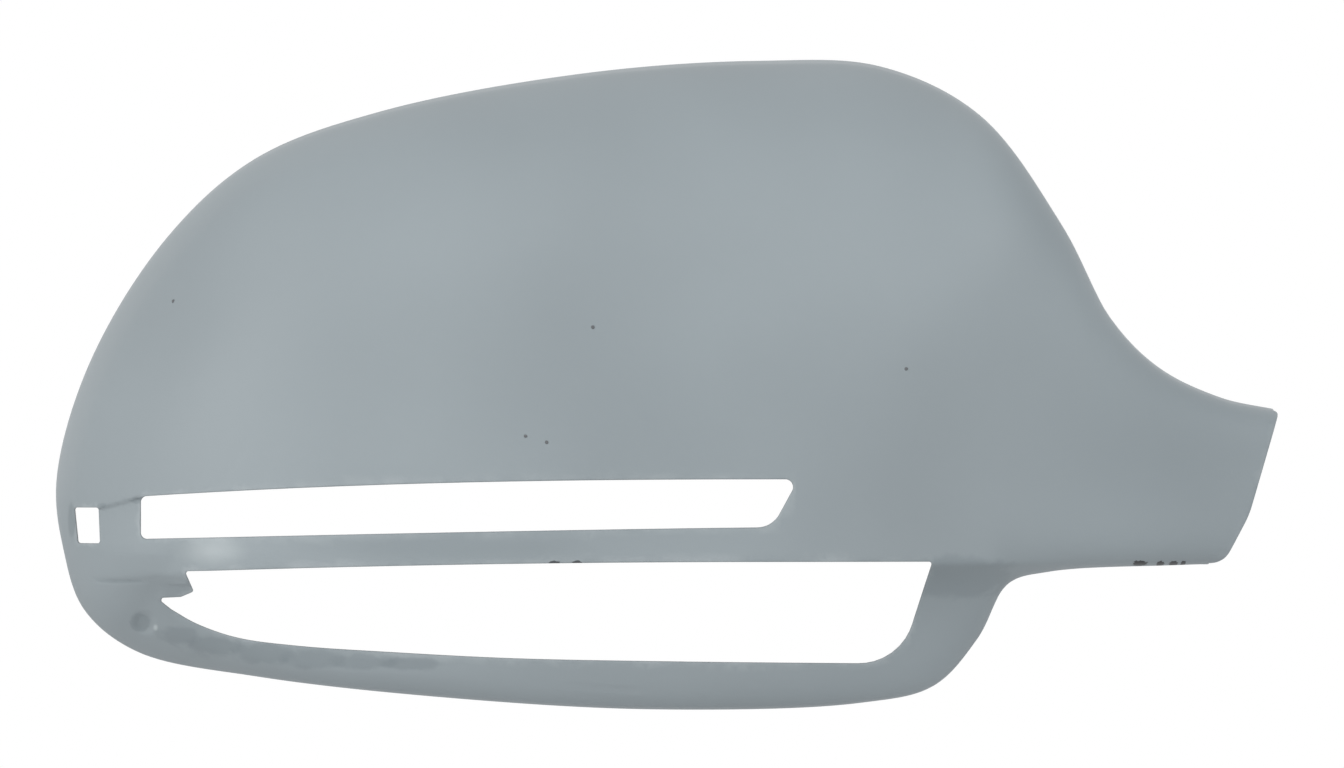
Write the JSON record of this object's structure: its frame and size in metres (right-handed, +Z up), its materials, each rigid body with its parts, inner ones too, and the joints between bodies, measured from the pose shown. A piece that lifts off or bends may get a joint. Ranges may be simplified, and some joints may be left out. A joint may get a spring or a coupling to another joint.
{
  "type": "wing mirror cover",
  "caption": "Outer cover of a car's wing mirror: a rolled-edge shell tapering to a tail, with a long lamp slot, a lower trim opening and a clip window.",
  "frame": {"origin": "middle of the plane on which the mirror housing's frame seats, half way along the cover and half way up it", "axes": "+X along the cover towards the tail at the door, +Y from the front face back to the mirror housing, +Z up"},
  "size_m": [0.24, 0.0764, 0.128],
  "materials": {
    "primer": "satin grey primer"
  },
  "bodies": {
    "root": {"mirror_cover": "primer"}
  },
  "joints": []
}
